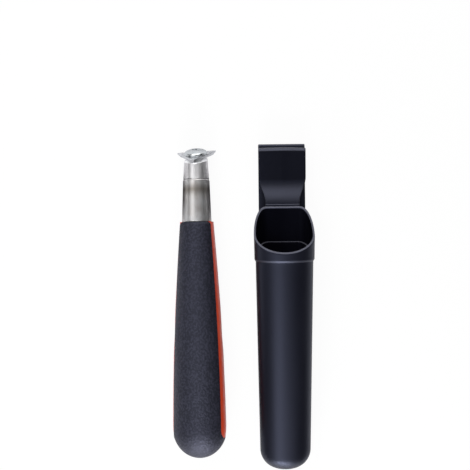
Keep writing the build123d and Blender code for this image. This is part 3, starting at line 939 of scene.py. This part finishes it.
def mouthParts():
    # the mouth's rounded rim, from the outside in, with a painted highlight on its crown
    rim, thick = pouch["rimThickness"], pouch["collarThickness"]
    lip = []
    for turn in stepped(0, math.pi, pouch["lipSteps"])[1:-1]:
        inward = rim * (1 - (1 + math.cos(turn)) / 2)
        lift = rim / 2 * (math.sin(turn) - 1)
        lip.append(slantedRow(pouch["backHeight"], pouch["mouthSlope"], thick - inward, inward, lift))
    return [(lip[:2], 0, 0), (lip[2:9], pouch["lipHighlight"], 0), (lip[9:], 0, 0)]


def innerParts():
    # throat, ledge and hollow, from the mouth down to the inside of the foot
    rim, wall = pouch["rimThickness"], pouch["wall"]
    ledge, slope = pouch["ledgeHeight"], math.tan(math.radians(pouch["ledgeSlope"]))
    innerGrow = pouch["collarThickness"] - rim
    top = slantedRow(pouch["backHeight"], pouch["mouthSlope"], innerGrow, rim, -rim / 2)
    bottom = slantedRow(ledge, slope, innerGrow, rim)
    throat = [between(top, bottom, part) for part in stepped(0, 1, pouch["throatSteps"])]
    shelf = [slantedRow(ledge, slope, -wall + outward, wall - backward, -down)
             for outward, backward, down in pouch["shelfRows"]]
    shelfFoot = slantedRow(ledge, slope, -wall, wall, -pouch["shelfDrop"])
    inside = pouchFoot(wall, -wall, wall, pouch["sideRadius"] - wall, pouch["heelRadius"] - wall)
    hollow = [shelfFoot]
    for part in stepped(0, 1, pouch["hollowSteps"])[1:-1]:
        heights = [p[1] + (q[1] - p[1]) * part for p, q in zip(shelfFoot, inside[-1])]
        points = [pouchPoint(height, -wall, wall, share) for height, share in zip(heights, pouchShares())]
        hollow.append([(x, height, z) for height, (x, z) in zip(heights, points)])
    hollow += inside[::-1]
    # throat and hollow get the full painted shade, the shelf a painted highlight and half the painted shade
    return [(throat, 0, 1), (shelf, pouch["shelfHighlight"], pouch["shelfShade"]), (hollow, 0, 1)]


def makePouchShell():
    parts = outerParts() + mouthParts() + innerParts()
    shape = bmesh.new()
    growSkin(shape, [row for rows, _, _ in parts for row in rows], holsterFrame,
             marks={"paintedHighlight": [paintedHighlight for rows, paintedHighlight, _ in parts for _ in rows],
                    "shaded": [shade for rows, _, shade in parts for _ in rows]})
    for side in (-1, 1):
        addRail(shape, side)
    finishPiece("pouchShell", shape, "holster_plastic", "holster", ["holster_pouch"], crease=38)


def addRail(shape, side):
    # a rail beside the clip's foot, with its edges taken off
    rail = bmesh.new()
    bmesh.ops.create_cube(rail, size=1.0)
    deep = pouch["railThickness"] + pouch["wall"] / 2
    for corner in rail.verts:
        corner.co = Vector((side * pouch["railStep"] + corner.co.x * pouch["railWidth"],
                            pouch["railLow"] + pouch["railHeight"] * (0.5 + corner.co.y),
                            (pouch["wall"] / 2 - pouch["railThickness"]) / 2 + corner.co.z * deep))
    bmesh.ops.bevel(rail, geom=rail.edges[:], offset=pouch["railEdge"], segments=3, profile=0.5,
                    affect="EDGES")
    rail.transform(holsterFrame)
    part = bpy.data.meshes.new("rail")
    rail.to_mesh(part)
    rail.free()
    shape.from_mesh(part)
    bpy.data.meshes.remove(part)


# belt clip: one bent strip, drawn as a strap with its foot and a leg

clip = {
    "footWidth": 21.4, "width": 29.4, "thickness": 2.4,
    "footLow": 141.3, "footTop": 163.0, "footStep": 0.9,
    "leanHeight": 13.5, "lean": 2.9, "strapHeight": 21.8,
    "flareStart": 1.4, "flareLength": 15.0,
    "shoulderRadius": 2.3, "innerRadius": 1.2,
    "depth": 15.6, "legLength": 52.0, "legCorner": 6.0, "legChamfer": 1.1,
    "crownRise": 2.0, "crownRadius": 1.1,
    "footSoft": 0.35, "leanGap": 0.12, "footPoint": (0.02, 0.1),
    "crownNarrow": 0.4,    # share of the crown's rounding that its sides draw in
    "edge": 0.5, "edgeShare": 0.48,
    "ridge": 0.03,         # how fast the strap falls away to both sides of its middle line
    # painted highlights on the foot's edge, shoulder, crown and the lean's bend; painted shade on the flat strap
    "footHighlight": 0.7, "shoulderHighlight": 0.45, "crownHighlight": 0.4, "leanHighlight": 0.3, "flatShade": 0.62,
    "shadeReach": 4,       # height over which that painted shade sets in, half below the lean's top
}
clip["leanTop"] = clip["footTop"] + clip["leanHeight"]
clip["webTop"] = clip["leanTop"] + clip["strapHeight"]
clip["strapFront"] = -clip["footStep"] - clip["lean"]
clip["crown"] = clip["webTop"] + clip["crownRise"]


def legBack(height):
    return -clip["depth"] - math.tan(math.radians(holster["tilt"])) * (height - clip["webTop"])


def strapHalf(height):
    # half width at a height: narrow at the foot, then an S-shaped flare
    rise = smoothStep((height - clip["footTop"] - clip["flareStart"]) / clip["flareLength"])
    return (clip["footWidth"] + (clip["width"] - clip["footWidth"]) * rise) / 2


def stripRow(outer, inner, half, ridge=0.0):
    # a cross-wise section of the strip between two side-view points, with rounded corners
    thick = math.dist(outer, inner)
    edge = min(clip["edge"], clip["edgeShare"] * thick)
    flat = half - edge
    drop = ridge * flat
    corner = [(edge * math.sin(turn), edge * (1 - math.cos(turn))) for turn in quarterTurn(5)[1:]]
    profile = [(x, ridge * abs(x)) for x in stepped(-flat, flat, 28)]
    profile += [(flat + x, drop + depth) for x, depth in corner]
    profile += [(flat + x, thick - depth) for x, depth in corner[::-1]]
    profile += [(x, thick) for x in stepped(flat, -flat, 14)]
    profile += [(-flat - x, thick - depth) for x, depth in corner]
    profile += [(-flat - x, drop + depth) for x, depth in corner[::-1]]
    along, across = inner[0] - outer[0], inner[1] - outer[1]
    return [(x, outer[0] + along * depth / thick, outer[1] + across * depth / thick) for x, depth in profile]


def capRow(row):
    # every point drawn in to the middle of a section, to close a strip's end
    y, z = sum(point[1] for point in row) / len(row), sum(point[2] for point in row) / len(row)
    return [(0.0, y, z)] * len(row)


def footPairs(back):
    # side-view pairs of outer and inner points on the foot, from below up, with their painted highlight
    top, soft = clip["footTop"], clip["footSoft"]
    up, out = clip["footPoint"]
    pairs = [((height, 0), (height, back), 0) for height in stepped(clip["footLow"], top - soft, 8)]
    for turn in quarterTurn(4)[1:]:
        outer = (top - soft + soft * math.sin(turn), soft * (math.cos(turn) - 1))
        pairs.append((outer, (top - soft, back), clip["footHighlight"]))
    pairs.append(((top + up, -clip["footStep"] + out), (top, back), 0))
    return pairs


def leanPairs():
    thick, top, gap = clip["thickness"], clip["footTop"], clip["leanGap"]
    pairs = []
    for share in stepped(0, 1, 14):
        height = top + gap + (clip["leanTop"] - top - gap) * share
        fall = clip["footStep"] + clip["lean"] * smoothStep(share)
        pairs.append(((height, -fall), (height, -fall - thick), clip["leanHighlight"] * math.sin(math.pi * share)))
    return pairs


def shoulderPairs():
    # up the flat strap, over the shoulder and back to the leg
    thick, front, web = clip["thickness"], clip["strapFront"], clip["webTop"]
    bend, turnBack = clip["shoulderRadius"], clip["innerRadius"]
    pairs = [((height, front), (min(height, web - thick - turnBack), front - thick), 0)
             for height in stepped(clip["leanTop"], web - bend, 10)[1:]]
    for turn in quarterTurn(9)[1:]:
        rise, pull = 1 - math.sin(turn), 1 - math.cos(turn)
        outer = (web - bend * rise, front - bend * pull)
        inner = (web - thick - turnBack * rise, front - thick - turnBack * pull)
        pairs.append((outer, inner, clip["shoulderHighlight"]))
    end = legBack(web) + thick / 2
    pairs += [((web, depth), (web - thick, depth), 0) for depth in stepped(front - thick - turnBack, end, 4)]
    return pairs


def strapRows():
    pairs = footPairs(-clip["footStep"] - clip["thickness"]) + leanPairs() + shoulderPairs()
    rows, shade = [], []
    for outer, inner, paintedHighlight in pairs:
        ridge = clip["ridge"] if outer[0] > clip["footTop"] else 0
        rows.append(stripRow(outer, inner, strapHalf(outer[0]), ridge))
        rise = outer[0] - clip["leanTop"] + clip["shadeReach"] / 2
        shade.append(clip["flatShade"] * smoothStep(rise / clip["shadeReach"]) * (paintedHighlight == 0))
    marks = {"paintedHighlight": [0] + [paintedHighlight for _, _, paintedHighlight in pairs] + [0], "shaded": [0] + shade + [0]}
    return [capRow(rows[0])] + rows + [capRow(rows[-1])], marks


def legRows():
    # the leg's sections from its tip up to the crown, with their painted highlight
    thick, tip, crown = clip["thickness"], clip["crown"] - clip["legLength"], clip["crown"]
    corner, bend, half = clip["legCorner"], clip["crownRadius"], clip["width"] / 2
    lead = 2 * clip["legChamfer"]
    heights = [tip + corner * (1 - math.cos(turn)) for turn in quarterTurn(10)]
    heights += stepped(tip + corner, crown - bend, 16)[1:]
    rows, highlights = [], []
    for height in heights:
        rise = height - tip
        wide = half - corner + math.sqrt(corner ** 2 - max(0.0, corner - rise) ** 2)
        front = legBack(height) + thick - clip["legChamfer"] * max(0.0, 1 - rise / lead)
        rows.append(stripRow((height, legBack(height)), (height, front), wide))
        highlights.append(0)
    for turn in quarterTurn(8)[1:]:
        height, pull = crown - bend * (1 - math.sin(turn)), bend * (1 - math.cos(turn))
        outer, inner = (height, legBack(height) + pull), (height, legBack(height) + thick - pull)
        rows.append(stripRow(outer, inner, half - clip["crownNarrow"] * pull))
        highlights.append(clip["crownHighlight"])
    return [capRow(rows[0])] + rows + [capRow(rows[-1])], {"paintedHighlight": [0] + highlights + [0]}


def makeClipStrip():
    shape = bmesh.new()
    for rows, marks in (strapRows(), legRows()):
        growSkin(shape, rows, holsterFrame, marks=marks)
    finishPiece("clipStrip", shape, "holster_plastic", "holster", ["belt_clip"], crease=32)


makeGripCover()
makeHeadShell()
makeFerruleTube()
makeCuttingPlate()
makeCupRing()
makeScrewBody()
makePouchShell()
makeClipStrip()
print("pieces drawn")
